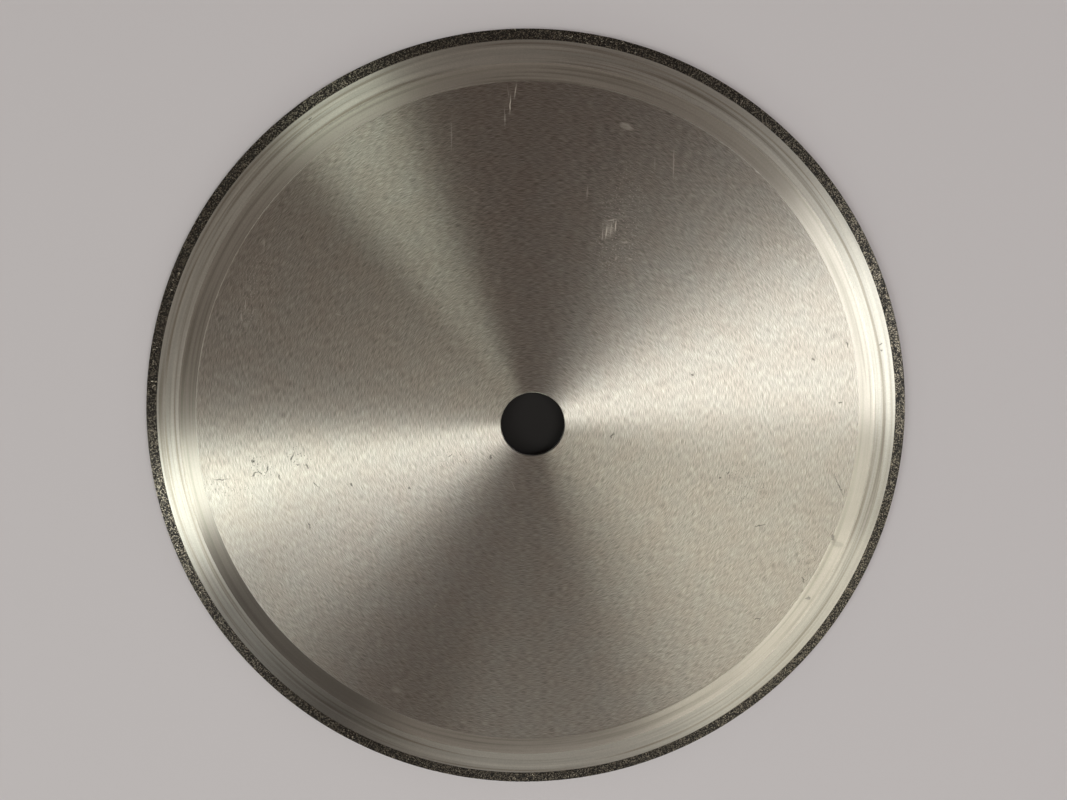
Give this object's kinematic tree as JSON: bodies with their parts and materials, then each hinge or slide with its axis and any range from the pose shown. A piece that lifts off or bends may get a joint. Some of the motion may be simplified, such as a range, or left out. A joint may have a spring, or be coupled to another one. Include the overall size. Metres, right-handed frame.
{
  "type": "cbn saw blade",
  "caption": "Thin round saw blade: a ground steel disc with a plain central bore and a continuous dark abrasive rim bonded round its edge.",
  "frame": {"origin": "centre of the bore, at half the thickness", "axes": "+Z along the bore axis, out of the face that lies up; X and Y lie in the mid-plane"},
  "size_m": [0.3, 0.3, 0.002],
  "materials": {
    "ground_steel": "satin",
    "abrasive_bond": "matte"
  },
  "bodies": {
    "root": {"steel_core": "ground_steel", "abrasive_rim": "abrasive_bond"}
  },
  "joints": []
}
